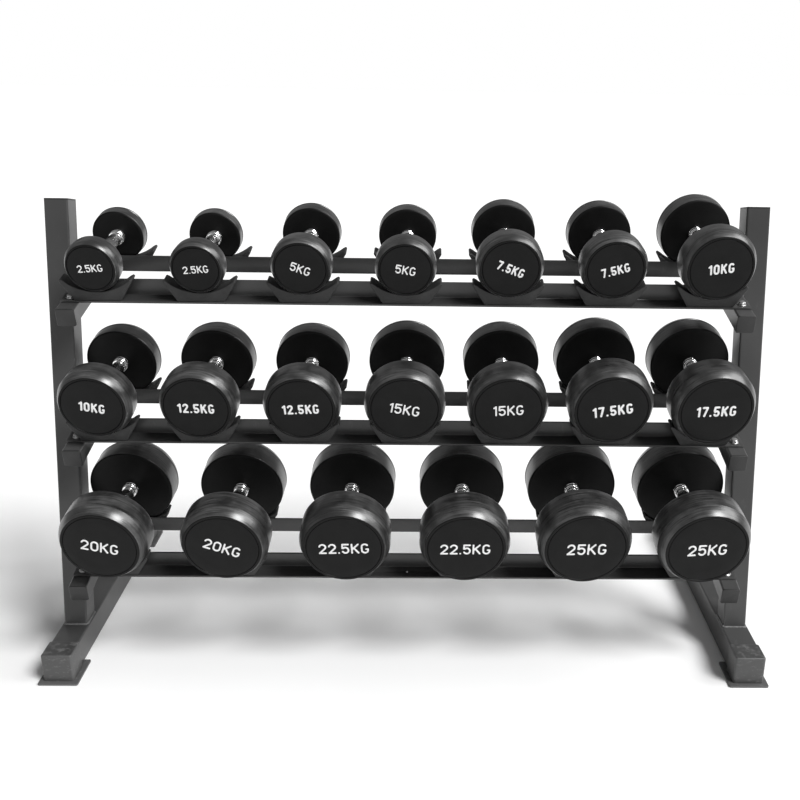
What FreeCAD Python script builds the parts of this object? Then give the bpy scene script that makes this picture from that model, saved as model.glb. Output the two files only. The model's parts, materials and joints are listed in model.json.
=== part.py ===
import FreeCAD, Part
import math
import os
import Sketcher

# Three-tier dumbbell rack with its twenty round rubber dumbbells, in millimetres.
# X runs along the rack, Y from the front to the back, Z up.  The origin is on the
# floor, in the middle of the rack's length and depth.

doc = FreeCAD.newDocument("DumbbellRack")
V = FreeCAD.Vector
ALONG_X, ALONG_Y, ALONG_Z = V(1, 0, 0), V(0, 1, 0), V(0, 0, 1)

SIZES = {
    # end frames
    "frame_width": 1528, "upright_width": 50, "upright_depth": 54, "upright_wall": 3,
    "upright_length": 930, "upright_lean": 10.5, "tube_corner": 4,
    "base_width": 60, "base_height": 60, "base_wall": 3, "base_length": 692,
    "base_ahead": 124, "floor_gap": 5,
    # arms, square to the tiers and sloping down to the front
    "arm_side": 38, "arm_wall": 2.5, "arm_slope": 12, "arm_reach": 103,
    "bottom_arm_height": 124, "tier_spacing": 292,
    # plastic caps and feet
    "cap_thickness": 3, "plug_length": 18, "fit_clearance": 0.25,
    "foot_wall": 2.5, "foot_length": 56, "foot_flange": 10, "foot_heel": 26,
    # folded rails
    "rail_leg": 38, "rail_sheet": 4, "rail_leg_gap": 115.5, "rail_end_gap": 2,
    "front_rail_from_end": 32, "rear_rail_from_end": 14.5,
    # bolts that hold the rails on the arms, and screws that hold the saddles
    "bolt_diameter": 8, "bolt_head_flats": 13, "bolt_head_height": 5.3, "bolt_length": 20,
    "washer_diameter": 18, "washer_thickness": 1.6, "washer_play": 0.4, "bolt_hole": 9,
    "bolt_from_fold": 22, "bolt_head_bevel": 0.3,
    "screw_diameter": 5, "screw_length": 16, "screw_head": 9, "screw_head_height": 2.5,
    "screw_hole": 5.6, "screw_pilot": 5.1,
    # moulded saddles
    "saddle_top_width": 150, "saddle_foot_width": 96, "saddle_height": 46,
    "saddle_rise": 20, "saddle_radius": 102, "saddle_depth": 33,
    # middles of each row's end saddles, measured in from the arms' inner faces
    "upper_row_left": 46, "upper_row_right": 56, "bottom_row_left": 58, "bottom_row_right": 64,
    # how much farther out the front row's end saddles stand than the rear row's
    "row_splay": 9,
    # dumbbells
    "grip_length": 130, "grip_diameter": 27, "collar_diameter": 34, "collar_length": 14,
    "collar_bevel": 3, "collar_drop": 2, "waist_drop": 1.5, "grip_straight": 51.2,
    "spigot_diameter": 24, "seat_gap": 0.3, "face_groove": 1.2, "face_groove_width": 1.6,
    "inner_bevel": 5,
    # shape of a head, as shares of its radius, and how far its bore reaches through it
    "groove_share": 0.81, "rim_share": 0.87, "shoulder_share": 0.965,
    "bevel_share": 0.26, "crown_share": 0.1, "bore_share": 0.6,
}

# mass in kilograms, head diameter, head thickness
WEIGHTS = [
    ("2_5", 112, 40), ("5", 125, 46), ("7_5", 138, 50), ("10", 154, 55), ("12_5", 159, 59),
    ("15", 166, 62), ("17_5", 176, 67), ("20", 184, 73), ("22_5", 189, 76), ("25", 197, 79),
]
TIERS = {
    "bottom": ["20", "20", "22_5", "22_5", "25", "25"],
    "middle": ["10", "12_5", "12_5", "15", "15", "17_5", "17_5"],
    "top": ["2_5", "2_5", "5", "5", "7_5", "7_5", "10"],
}


def fill_sheet():
    """Write every driving size into the spreadsheet and give its cell an alias."""
    sheet = doc.addObject("Spreadsheet::Sheet", "Sizes")
    rows = dict(SIZES)
    for mass, diameter, thickness in WEIGHTS:
        rows["head_diameter_kg" + mass] = diameter
        rows["head_thickness_kg" + mass] = thickness
    for row, (alias, number) in enumerate(rows.items(), start=1):
        sheet.set("A%d" % row, alias)
        sheet.set("B%d" % row, str(number))
        sheet.setAlias("B%d" % row, alias)
    doc.recompute()


fill_sheet()
working = doc.addObject("Spreadsheet::Sheet", "Working")


def bound(expression):
    """An expression with each <<alias>> written as the sheet's cell of that name."""
    return str(expression).replace("<<", "Sizes.").replace(">>", "")


def size(expression):
    """Value of an expression of sheet cells, such as '<<arm_side>> / 2'."""
    working.set("A1", "=" + bound(expression))
    working.recompute()
    return float(working.get("A1"))


def origin_plane(body, role):
    return [item for item in body.Origin.OriginFeatures if item.Role == role][0]


def new_body(name):
    body = doc.addObject("PartDesign::Body", name)
    body.Label = name
    body.AllowCompound = True
    return body


def sketch_on(body, role, name):
    sketch = body.newObject("Sketcher::SketchObject", name)
    sketch.AttachmentSupport = [(origin_plane(body, role), "")]
    sketch.MapMode = "FlatFace"
    return sketch


def pin_vertex(sketch, line, point, corner):
    """Hold one end of a line at the two expressions of its corner."""
    for kind, axis, expression in (("DistanceX", -2, corner[0]), ("DistanceY", -1, corner[1])):
        value = size(expression)
        if abs(value) < 1e-9:
            sketch.addConstraint(Sketcher.Constraint("PointOnObject", line, point, axis))
            continue
        index = sketch.addConstraint(Sketcher.Constraint(kind, -1, 1, line, point, value))
        sketch.setExpression("Constraints[%d]" % index, bound(expression))


def outline(sketch, corners):
    """Draw a closed outline of straight lines whose corners are pairs of expressions."""
    places = [V(size(across), size(up), 0) for across, up in corners]
    first = sketch.GeometryCount
    for here, there in zip(places, places[1:] + places[:1]):
        sketch.addGeometry(Part.LineSegment(here, there), False)
    for step, corner in enumerate(corners):
        following = first + (step + 1) % len(corners)
        sketch.addConstraint(Sketcher.Constraint("Coincident", first + step, 2, following, 1))
        pin_vertex(sketch, first + step, 1, corner)


def rectangle(sketch, left, low, width, height):
    right, high = "%s + %s" % (left, width), "%s + %s" % (low, height)
    outline(sketch, [(left, low), (right, low), (right, high), (left, high)])


def circle(sketch, across, up, diameter):
    """Draw a circle whose centre and diameter are expressions."""
    place = V(size(across), size(up), 0)
    index = sketch.addGeometry(Part.Circle(place, ALONG_Z, size(diameter) / 2), False)
    pin_vertex(sketch, index, 3, (across, up))
    rule = sketch.addConstraint(Sketcher.Constraint("Diameter", index, size(diameter)))
    sketch.setExpression("Constraints[%d]" % rule, bound(diameter))


def pad(body, sketch, length, both_ways=False, reverse=False):
    feature = body.newObject("PartDesign::Pad", body.Label + "_pad")
    feature.Profile = sketch
    feature.setExpression("Length", bound(length))
    feature.Midplane = both_ways
    feature.Reversed = reverse
    sketch.Visibility = False
    doc.recompute()
    return feature


def pocket(body, sketch, length, both_ways=False, reverse=False):
    """Cut a sketch out of the body and make sure that the cut met it."""
    before = body.Shape.Volume
    feature = body.newObject("PartDesign::Pocket", body.Label + "_pocket")
    feature.Profile = sketch
    feature.setExpression("Length", bound(length))
    feature.Midplane = both_ways
    feature.Reversed = reverse
    doc.recompute()
    if not feature.Shape.Volume < before - 1:
        raise ValueError("cut missed the body " + body.Label)
    return feature


def revolve(body, sketch):
    """Turn a sketch a full circle about its vertical axis."""
    feature = body.newObject("PartDesign::Revolution", body.Label + "_turning")
    feature.Profile = sketch
    feature.ReferenceAxis = (sketch, ["V_Axis"])
    feature.Angle = 360
    doc.recompute()
    return feature


def edges_along(shape, direction, at_least):
    """Names of the straight edges that run along a direction and are long enough."""
    names = []
    for number, edge in enumerate(shape.Edges, start=1):
        if not isinstance(edge.Curve, (Part.Line, Part.LineSegment)):
            continue
        if abs(edge.Curve.Direction.dot(direction)) > 0.999 and edge.Length > at_least:
            names.append("Edge%d" % number)
    return names


def round_edges(body, names, radius):
    base = body.Tip
    feature = body.newObject("PartDesign::Fillet", body.Label + "_rounding")
    feature.Base = (base, names)
    feature.setExpression("Radius", bound(radius))
    doc.recompute()
    return feature


def outer_corner_edges(shape, direction, at_least, half_width):
    """Long edges of a tube that lie on its outer corners, not on its bore."""
    names = []
    for name in edges_along(shape, direction, at_least):
        middle = shape.getElement(name).CenterOfGravity
        if abs(abs(middle.x) - half_width) < 0.01:
            names.append(name)
    return names


def group(name, pieces):
    """One node of separate solids: each piece is a (shape, placement) pair."""
    solids = []
    for shape, placement in pieces:
        copy = shape.copy()
        copy.Placement = placement.multiply(copy.Placement)
        solids.extend(copy.Solids)
    node = doc.addObject("Part::Feature", name)
    node.Label = name
    node.Shape = Part.makeCompound(solids)
    return node


# ---------------------------------------------------------------- places

lean = size("<<upright_lean>>")
slope = size("<<arm_slope>>")
upright_turn = FreeCAD.Rotation(ALONG_X, -lean)
tier_turn = FreeCAD.Rotation(ALONG_X, slope)
base_top = size("<<floor_gap>> + <<base_height>>")
upright_middle = size("(<<frame_width>> - <<upright_width>>) / 2")
arm_middle = size("<<frame_width>> / 2 - <<upright_width>> - <<arm_side>> / 2")
base_front = -size("<<base_length>>") / 2
upright_foot = V(0, base_front + size("<<base_ahead>>"), base_top)


def upright_place(side):
    """Frame of one upright: Z up its length, Y back from its front face."""
    return FreeCAD.Placement(V(side * upright_middle, upright_foot.y, base_top), upright_turn)


def tier_place(tier):
    """Frame of one tier: Y runs back along the arms, Z stands square on their top."""
    level = ["bottom", "middle", "top"].index(tier)
    height = size("<<bottom_arm_height>>") + level * size("<<tier_spacing>>")
    corner = upright_foot + upright_turn.multVec(V(0, -size("<<arm_reach>>"), height))
    return FreeCAD.Placement(corner, tier_turn)


def moved(placement, x, y, z, turn=FreeCAD.Rotation()):
    return placement.multiply(FreeCAD.Placement(V(x, y, z), turn))


# ---------------------------------------------------------------- end frames

def tube(name, width, depth, wall, length):
    """Rectangular tube standing on XY: X across its middle, Y back from its front face."""
    body = new_body(name)
    section = sketch_on(body, "XY_Plane", name + "_section")
    rectangle(section, "-%s / 2" % width, "0", width, depth)
    rectangle(section, "-%s / 2 + %s" % (width, wall), wall,
              "(%s - 2 * %s)" % (width, wall), "(%s - 2 * %s)" % (depth, wall))
    pad(body, section, length)
    corners = outer_corner_edges(body.Shape, ALONG_Z, 50, size(width) / 2)
    round_edges(body, corners, "<<tube_corner>>")
    return body


def upright(name, side):
    """Leaning upright, mitred at its foot so that it stands flat on the base tube."""
    body = tube(name, "<<upright_width>>", "<<upright_depth>>", "<<upright_wall>>",
                "<<upright_length>>")
    mitre = sketch_on(body, "YZ_Plane", name + "_mitre")
    behind = "<<upright_depth>> * 1.2"
    outline(mitre, [("0", "0"), (behind, "0"), (behind, behind + " * tan(<<upright_lean>> * 1 deg)")])
    pocket(body, mitre, "<<upright_width>> * 2", both_ways=True)
    body.Placement = upright_place(side)
    return body


def base_tube(name, side):
    body = tube(name, "<<base_width>>", "<<base_height>>", "<<base_wall>>", "<<base_length>>")
    lying = FreeCAD.Rotation(ALONG_X, -90)
    body.Placement = FreeCAD.Placement(V(side * upright_middle, base_front, base_top), lying)
    return body


def drill_arm(body):
    """Bolt holes through the arm's top wall, one under each rail."""
    holes = sketch_on(body, "XZ_Plane", body.Label + "_holes")
    for distance in bolt_distances():
        circle(holes, "0", distance, "<<bolt_hole>>")
    pocket(body, holes, "<<arm_wall>> * 2", both_ways=True)


def bolt_distances():
    """Distance of each rail's bolts from the arm's tube end, front rail first."""
    front = "<<front_rail_from_end>> + <<rail_leg>> - <<bolt_from_fold>> - <<cap_thickness>>"
    rear = ("<<front_rail_from_end>> + <<rail_leg>> + <<rail_leg_gap>> + <<bolt_from_fold>>"
            " - <<cap_thickness>>")
    return [front, rear]


def arm_length():
    """Length of an arm with both its plugs, which leaves room for the two rails on it."""
    return ("(<<front_rail_from_end>> + 2 * <<rail_leg>> + <<rail_leg_gap>>"
            " + <<rear_rail_from_end>>)")


def arms(name, side):
    """The three arms of one end frame, one above the other on the upright's inner face."""
    arm = tube(name + "_tube", "<<arm_side>>", "<<arm_side>>", "<<arm_wall>>",
               arm_length() + " - 2 * <<cap_thickness>>")
    drill_arm(arm)
    lying = FreeCAD.Rotation(ALONG_X, -90)
    cap = size("<<cap_thickness>>")
    pieces = []
    for tier in TIERS:
        pieces.append((arm.Shape, moved(tier_place(tier), side * arm_middle, cap, 0, lying)))
    return group(name, pieces)


def plug_shape(name, width, depth, wall):
    """Square plastic plug: a plate as large as the tube and a stub that fits its bore."""
    body = new_body(name)
    plate = sketch_on(body, "XY_Plane", name + "_plate")
    rectangle(plate, "-%s / 2" % width, "0", width, depth)
    pad(body, plate, "<<cap_thickness>>")
    inset = "%s + <<fit_clearance>>" % wall
    stub = sketch_on(body, "XY_Plane", name + "_stub")
    rectangle(stub, "-%s / 2 + %s" % (width, inset), inset,
              "(%s - 2 * (%s))" % (width, inset), "(%s - 2 * (%s))" % (depth, inset))
    pad(body, stub, "<<plug_length>>", reverse=True)
    corners = [name for name in edges_along(body.Shape, ALONG_Z, 0.5)
               if abs(abs(body.Shape.getElement(name).CenterOfGravity.x)
                      - size(width) / 2) < 0.01]
    round_edges(body, corners, "<<tube_corner>>")
    return body


def arm_end_caps():
    plug = plug_shape("arm_plug", "<<arm_side>>", "<<arm_side>>", "<<arm_wall>>")
    out_front = FreeCAD.Rotation(ALONG_X, 90)
    out_back = FreeCAD.Rotation(ALONG_X, -90)
    cap, length, side_length = (size("<<cap_thickness>>"), size(arm_length()),
                                size("<<arm_side>>"))
    pieces = []
    for tier in TIERS:
        for side in (-1, 1):
            place = tier_place(tier)
            x = side * arm_middle
            pieces.append((plug.Shape, moved(place, x, cap, -side_length, out_front)))
            pieces.append((plug.Shape, moved(place, x, length - cap, 0, out_back)))
    return group("arm_end_caps", pieces)


def upright_caps():
    plug = plug_shape("upright_plug", "<<upright_width>>", "<<upright_depth>>",
                      "<<upright_wall>>")
    pieces = []
    for side in (-1, 1):
        pieces.append((plug.Shape, moved(upright_place(side), 0, 0, size("<<upright_length>>"))))
    return group("upright_caps", pieces)


def foot_caps():
    """Moulded shoes over the four tube ends, each with a wide sole on the floor."""
    body = new_body("foot_shoe")
    sole = sketch_on(body, "XY_Plane", "foot_sole")
    half = "<<base_width>> / 2 + <<foot_wall>> + <<foot_flange>>"
    rectangle(sole, "-(%s)" % half, "-<<foot_wall>> - <<foot_flange>>", "2 * (%s)" % half,
              "<<foot_flange>> + <<foot_length>> + <<foot_heel>>")
    pad(body, sole, "<<floor_gap>> - <<fit_clearance>>")
    upper = sketch_on(body, "XY_Plane", "foot_upper")
    rectangle(upper, "-<<base_width>> / 2 - <<foot_wall>>", "-<<foot_wall>>",
              "<<base_width>> + 2 * <<foot_wall>>", "<<foot_length>>")
    pad(body, upper, "<<floor_gap>> + <<base_height>> + <<foot_wall>>")
    bore = sketch_on(body, "XZ_Plane", "foot_bore")
    rectangle(bore, "-<<base_width>> / 2 - <<fit_clearance>>",
              "<<floor_gap>> - <<fit_clearance>>", "<<base_width>> + 2 * <<fit_clearance>>",
              "<<base_height>> + 2 * <<fit_clearance>>")
    pocket(body, bore, "<<foot_length>> * 2")
    front = base_front - size("<<fit_clearance>>")
    about = FreeCAD.Rotation(ALONG_Z, 180)
    pieces = []
    for side in (-1, 1):
        x = side * upright_middle
        pieces.append((body.Shape, FreeCAD.Placement(V(x, front, 0), FreeCAD.Rotation())))
        pieces.append((body.Shape, FreeCAD.Placement(V(x, -front, 0), about)))
    return group("foot_caps", pieces)


# ---------------------------------------------------------------- rails

def saddle_places(tier, facing):
    """Middle of each saddle along a rail: facing is -1 for the front row, 1 for the rear one."""
    row = "bottom_row" if tier == "bottom" else "upper_row"
    inner_face = "<<frame_width>> / 2 - <<upright_width>> - <<arm_side>>"
    splay = facing * size("<<row_splay>> / 2")
    left = size("-(%s) + <<%s_left>>" % (inner_face, row)) + splay
    right = size("%s - <<%s_right>>" % (inner_face, row)) - splay
    gaps = len(TIERS[tier]) - 1
    return [left + number * (right - left) / gaps for number in range(gaps + 1)]


def rail(name, tier, facing):
    """Folded angle on the arms: facing is -1 with its flat leg forward, 1 backward."""
    body = new_body(name)
    profile = sketch_on(body, "YZ_Plane", name + "_fold")
    leg, sheet_thickness = "<<rail_leg>>", "<<rail_sheet>>"
    sign = "" if facing > 0 else "-"
    outline(profile, [("0", "0"), (sign + leg, "0"), (sign + leg, sheet_thickness),
                      (sign + sheet_thickness, sheet_thickness), (sign + sheet_thickness, leg),
                      ("0", leg)])
    pad(body, profile, "<<frame_width>> - 2 * <<upright_width>> - 2 * <<rail_end_gap>>",
        both_ways=True)
    notch = sketch_on(body, "XZ_Plane", name + "_notches")
    inside = "<<frame_width>> / 2 - <<upright_width>> - <<arm_side>>"
    for start in ("-(%s) - <<arm_side>> * 2" % inside, inside):
        rectangle(notch, start, sheet_thickness, "<<arm_side>> * 2", leg)
    pocket(body, notch, "<<rail_leg>> * 3", both_ways=True)
    holes = sketch_on(body, "XY_Plane", name + "_holes")
    across = str(facing) + " * <<bolt_from_fold>>"
    for side in ("-", ""):
        middle = "<<frame_width>> / 2 - <<upright_width>> - <<arm_side>> / 2"
        circle(holes, "%s(%s)" % (side, middle), across, "<<bolt_hole>>")
    saddle_across = "%d * (<<rail_sheet>> + <<saddle_depth>> / 2)" % facing
    for x in saddle_places(tier, facing):
        circle(holes, str(x), saddle_across, "<<screw_hole>>")
    if tier == "bottom":
        circle(holes, "0", saddle_across, "<<screw_hole>>")
    pocket(body, holes, "<<rail_sheet>> * 4", both_ways=True)
    fold = "<<front_rail_from_end>> + <<rail_leg>>"
    if facing > 0:
        fold += " + <<rail_leg_gap>>"
    body.Placement = moved(tier_place(tier), 0, size(fold), 0)
    return body


# ---------------------------------------------------------------- saddles

def saddle_shape():
    """Moulded cradle: a trapezoid with a round hollow on top, and a screw hole below."""
    body = new_body("saddle")
    outline_sketch = sketch_on(body, "XZ_Plane", "saddle_outline")
    half_foot, half_top = "<<saddle_foot_width>> / 2", "<<saddle_top_width>> / 2"
    tall = "<<saddle_height>>"
    outline(outline_sketch, [("-" + half_foot, "0"), (half_foot, "0"), (half_top, tall),
                             ("-" + half_top, tall)])
    pad(body, outline_sketch, "<<saddle_depth>>", reverse=True)
    hollow = sketch_on(body, "XZ_Plane", "saddle_hollow")
    circle(hollow, "0", "<<saddle_rise>> + <<saddle_radius>>", "2 * <<saddle_radius>>")
    pocket(body, hollow, "<<saddle_depth>> * 3", both_ways=True)
    pilot = sketch_on(body, "XY_Plane", "saddle_pilot")
    circle(pilot, "0", "<<saddle_depth>> / 2", "<<screw_pilot>>")
    pocket(body, pilot, "<<screw_length>> * 2", both_ways=True)
    return body


def rail_rows(tier):
    """Front edge of the front saddle row and of the rear saddle row, in the tier's frame."""
    fold = size("<<front_rail_from_end>> + <<rail_leg>>")
    front = fold - size("<<rail_sheet>> + <<saddle_depth>>")
    rear = fold + size("<<rail_leg_gap>> + <<rail_sheet>>")
    return front, rear


def saddle_corners(tier):
    """Front middle of every saddle of a tier, in the tier's frame, the front row first."""
    rows = zip((-1, 1), rail_rows(tier))
    return [(x, y) for facing, y in rows for x in saddle_places(tier, facing)]


def saddles(tier, saddle):
    pieces = []
    for x, y in saddle_corners(tier):
        pieces.append((saddle.Shape, moved(tier_place(tier), x, y, size("<<rail_sheet>>"))))
    return group(tier + "_saddles", pieces)


# ---------------------------------------------------------------- fasteners

def hex_bolt_shape():
    """Hexagon bolt, shank downward, with the underside of its head at Z 0."""
    flats = size("<<bolt_head_flats>>")
    corner = flats / math.sqrt(3)
    points = [V(corner * math.cos(math.radians(angle)), corner * math.sin(math.radians(angle)), 0)
              for angle in range(0, 361, 60)]
    head = Part.Face(Part.makePolygon(points)).extrude(V(0, 0, size("<<bolt_head_height>>")))
    dome = Part.makeCone(corner + size("<<bolt_head_height>>"),
                         flats / 2 - size("<<bolt_head_bevel>>"), size("<<bolt_head_height>>"))
    shank = Part.makeCylinder(size("<<bolt_diameter>>") / 2, size("<<bolt_length>>"), V(0, 0, 0),
                              V(0, 0, -1))
    return head.common(dome).fuse(shank).removeSplitter()


def washer_shape():
    thickness = size("<<washer_thickness>>")
    disc = Part.makeCylinder(size("<<washer_diameter>>") / 2, thickness)
    hole = Part.makeCylinder(size("(<<bolt_diameter>> + <<washer_play>>) / 2"), thickness)
    return disc.cut(hole)


def rail_bolts():
    bolt, washer = hex_bolt_shape(), washer_shape()
    cap = size("<<cap_thickness>>")
    pieces = []
    for tier in TIERS:
        for side in (-1, 1):
            for distance in bolt_distances():
                x, y, z = side * arm_middle, size(distance) + cap, size("<<rail_sheet>>")
                lifted = z + size("<<washer_thickness>>")
                pieces.append((washer, moved(tier_place(tier), x, y, z)))
                pieces.append((bolt, moved(tier_place(tier), x, y, lifted)))
    return group("rail_bolts", pieces)


def screw_shape():
    """Pan-head screw pointing up, with the top of its head at Z 0."""
    head = Part.makeCylinder(size("<<screw_head>>") / 2, size("<<screw_head_height>>"),
                             V(0, 0, 0), V(0, 0, -1))
    shank = Part.makeCylinder(size("<<screw_diameter>>") / 2, size("<<screw_length>>"))
    return head.fuse(shank).removeSplitter()


def saddle_screws():
    screw = screw_shape()
    middle = size("<<saddle_depth>>") / 2
    pieces = []
    for tier in TIERS:
        for x, y in saddle_corners(tier):
            pieces.append((screw, moved(tier_place(tier), x, y + middle, 0)))
    return group("saddle_screws", pieces)


# ---------------------------------------------------------------- dumbbells

def head_outline(sketch, mass, end):
    """Half section of one head: across is the radius, up is the distance from the middle."""
    radius = "<<head_diameter_kg%s>> / 2" % mass
    thick = "<<head_thickness_kg%s>>" % mass
    inner = "<<grip_length>> / 2"
    bore = "<<spigot_diameter>> / 2"
    face = "%s + %s" % (inner, thick)
    bore_end = "%s + %s * <<bore_share>>" % (inner, thick)
    groove = radius + " * <<groove_share>>"
    corners = [
        (bore, inner),
        (radius + " - <<inner_bevel>>", inner),
        (radius, inner + " + <<inner_bevel>>"),
        (radius, "%s - %s * <<bevel_share>>" % (face, radius)),
        (radius + " * <<shoulder_share>>", "%s - %s * <<crown_share>>" % (face, radius)),
        (radius + " * <<rim_share>>", face),
        (groove + " + <<face_groove_width>>", face),
        (groove + " + <<face_groove_width>> / 2", face + " - <<face_groove>>"),
        (groove, face),
        ("0", face),
        ("0", bore_end),
        (bore, bore_end),
    ]
    if end < 0:
        corners = [(across, "-(%s)" % up) for across, up in corners]
    outline(sketch, corners)


def dumbbell_heads(name, mass, place):
    body = new_body(name)
    section = sketch_on(body, "XZ_Plane", name + "_section")
    head_outline(section, mass, 1)
    head_outline(section, mass, -1)
    revolve(body, section)
    body.Placement = place
    return body


def dumbbell_handle(name, mass, place):
    """Turned bar: plain spigots in the heads, a collar at each head and a fuller grip."""
    body = new_body(name)
    section = sketch_on(body, "XZ_Plane", name + "_section")
    inner = "<<grip_length>> / 2"
    end = "%s + <<head_thickness_kg%s>> * <<bore_share>> - <<seat_gap>>" % (inner, mass)
    spigot = "<<spigot_diameter>> / 2"
    collar = "<<collar_diameter>> / 2"
    grip = "<<grip_diameter>> / 2"
    shoulder = inner + " - <<collar_length>>"
    half = [
        (spigot, end),
        (spigot, inner),
        (collar + " - <<collar_drop>>", inner + " - <<seat_gap>>"),
        (collar, inner + " - <<collar_bevel>>"),
        (collar, shoulder + " + <<collar_bevel>>"),
        (grip + " - <<waist_drop>>", shoulder),
        (grip, "<<grip_straight>> / 2"),
    ]
    mirrored = [(across, "-(%s)" % up) for across, up in reversed(half)]
    outline(section, [("0", end)] + half + mirrored + [("0", "-(%s)" % end)])
    revolve(body, section)
    body.Placement = place
    return body


def dumbbell_place(tier, number, mass):
    """Dumbbell frame: Z along the handle to the back, resting in the two saddle hollows."""
    front_y, rear_y = rail_rows(tier)
    front_x = saddle_places(tier, -1)[number - 1]
    rear_x = saddle_places(tier, 1)[number - 1]
    middle = (front_y + rear_y + size("<<saddle_depth>>")) / 2
    low = size("<<rail_sheet>> + <<saddle_rise>> + <<seat_gap>>")
    centre = low + size("<<head_diameter_kg%s>> / 2" % mass)
    splay = math.degrees(math.atan2(front_x - rear_x, rear_y - front_y))
    along_arms = FreeCAD.Rotation(ALONG_Z, splay).multiply(FreeCAD.Rotation(ALONG_X, -90))
    return moved(tier_place(tier), (front_x + rear_x) / 2, middle, centre, along_arms)


def dumbbells(tier):
    nodes = []
    for number, mass in enumerate(TIERS[tier], start=1):
        place = dumbbell_place(tier, number, mass)
        name = "%s_%d_%skg" % (tier, number, mass)
        nodes.append(dumbbell_heads(name + "_heads", mass, place))
        nodes.append(dumbbell_handle(name + "_handle", mass, place))
    return nodes


# ---------------------------------------------------------------- the whole rack

def build():
    nodes = [upright("left_upright", -1), upright("right_upright", 1)]
    nodes += [base_tube("left_base_tube", -1), base_tube("right_base_tube", 1)]
    nodes += [arms("left_arms", -1), arms("right_arms", 1)]
    nodes += [arm_end_caps(), upright_caps(), foot_caps()]
    saddle = saddle_shape()
    for tier in TIERS:
        nodes += [rail(tier + "_front_rail", tier, -1), rail(tier + "_rear_rail", tier, 1)]
        nodes.append(saddles(tier, saddle))
    nodes += [rail_bolts(), saddle_screws()]
    for tier in TIERS:
        nodes += dumbbells(tier)
    return nodes


def export(nodes):
    """Refuse a faulty object, then write each node to its own file."""
    doc.recompute()
    for item in doc.Objects:
        if "Invalid" in item.State or "Error" in item.State:
            raise ValueError("%s is in state %s" % (item.Label, item.State))
    for node in nodes:
        if node.Shape.isNull() or not node.Shape.isValid():
            raise ValueError("bad shape in " + node.Label)
    os.makedirs("parts", exist_ok=True)
    for node in nodes:
        node.Shape.exportStep("parts/%s.step" % node.Label)


export(build())
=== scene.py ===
"""Looks of the three-tier dumbbell rack and its twenty rubber dumbbells, in metres."""

import json
import math

import bmesh
import bpy
from mathutils import Matrix, Vector

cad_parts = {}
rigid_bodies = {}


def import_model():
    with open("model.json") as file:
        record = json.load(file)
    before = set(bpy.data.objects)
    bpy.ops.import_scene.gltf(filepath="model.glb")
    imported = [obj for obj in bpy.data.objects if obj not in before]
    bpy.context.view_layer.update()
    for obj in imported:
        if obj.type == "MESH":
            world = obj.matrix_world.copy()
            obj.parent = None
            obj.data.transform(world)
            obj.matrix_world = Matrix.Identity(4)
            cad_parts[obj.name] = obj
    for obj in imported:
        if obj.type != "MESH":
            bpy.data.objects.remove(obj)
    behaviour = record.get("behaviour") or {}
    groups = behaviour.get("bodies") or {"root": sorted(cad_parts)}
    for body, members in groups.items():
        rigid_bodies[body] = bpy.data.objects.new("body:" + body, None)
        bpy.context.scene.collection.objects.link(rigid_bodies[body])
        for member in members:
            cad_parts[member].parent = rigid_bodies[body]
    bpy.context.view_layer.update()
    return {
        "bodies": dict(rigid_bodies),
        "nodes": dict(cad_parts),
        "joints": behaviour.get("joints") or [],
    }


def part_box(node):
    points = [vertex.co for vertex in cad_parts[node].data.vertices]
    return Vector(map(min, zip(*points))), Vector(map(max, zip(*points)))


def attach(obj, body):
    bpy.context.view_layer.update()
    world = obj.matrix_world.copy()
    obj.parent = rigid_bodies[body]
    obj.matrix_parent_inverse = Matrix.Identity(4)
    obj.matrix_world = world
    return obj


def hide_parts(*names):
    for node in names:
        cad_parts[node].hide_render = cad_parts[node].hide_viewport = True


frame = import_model()

TIERS = ("bottom", "middle", "top")
ENDS = ("front", "rear")

# sizes that the frame's boxes don't give
GRIP_LENGTH = 0.130
# the bore in a head, and how deep it goes as a share of the head's thickness
BORE_RADIUS = 0.012
BORE_SHARE = 0.6
SHEET = 0.004
RAIL_LEG = 0.038
SADDLE_DEPTH = 0.033
SADDLE_FOOT = 0.096
SADDLE_TOP = 0.150
SADDLE_HEIGHT = 0.046
SADDLE_RISE = 0.020
# how far in from the saddle's widest place its hollow ends
SADDLE_TIP = 0.0072
SADDLE_RADIUS = 0.102
# from each front saddle to its rear one, and how much farther left the last rear one stands
ROW_SPACING = 0.1565
ROW_SPLAY = 0.009
ARM_SIDE = 0.038
BOLT_FROM_FOLD = 0.022
BOLT_HOLE = 0.009
SCREW_HOLE = 0.0056

# edges that turn by more than this many degrees stay sharp
CREASE = 32
SOFT_CREASE = 50
# points closer together than this are one point
TOUCHING = 1e-6
IN_PLACE = Matrix.Identity(4)

# how far each dumbbell is turned about its handle, in degrees clockwise from the front
TURNS = {
    "top": (-5, -5, 20, 10, 22, -15, -6),
    "middle": (8, 0, -3, 10, -3, -8, -1),
    "bottom": (10, 20, -2, 0, 0, -1),
}


# ---------------------------------------------------------------- places

def lift_axis():
    """Direction in which every dumbbell lifts: square to the sloping tiers."""
    return Vector(frame["joints"][0]["axis"]).normalized()


UP = lift_axis()
BACK = Vector((0, UP.z, -UP.y))
ACROSS = Vector((1, 0, 0))


def axes(x, y, z, origin=(0, 0, 0)):
    """Matrix whose columns are three directions and an origin."""
    turned = Matrix((x, y, z)).transposed().to_4x4()
    return Matrix.Translation(origin) @ turned


def tier_axes(origin):
    """Frame on a tier: X along the rack, Y back along the arms, Z square to them."""
    return axes(ACROSS, BACK, UP, origin)


def fold_corner(tier, end):
    """Outer corner of a rail's fold, in the middle of the rack."""
    low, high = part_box("%s_%s_rail" % (tier, end))
    if end == "front":
        return Vector((0, high.y, low.z + RAIL_LEG * BACK.z))
    return Vector((0, low.y - RAIL_LEG * UP.y, low.z))


def arm_inner():
    """Distance from the rack's middle to the inner faces of its arms."""
    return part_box("right_arms")[0].x


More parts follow.
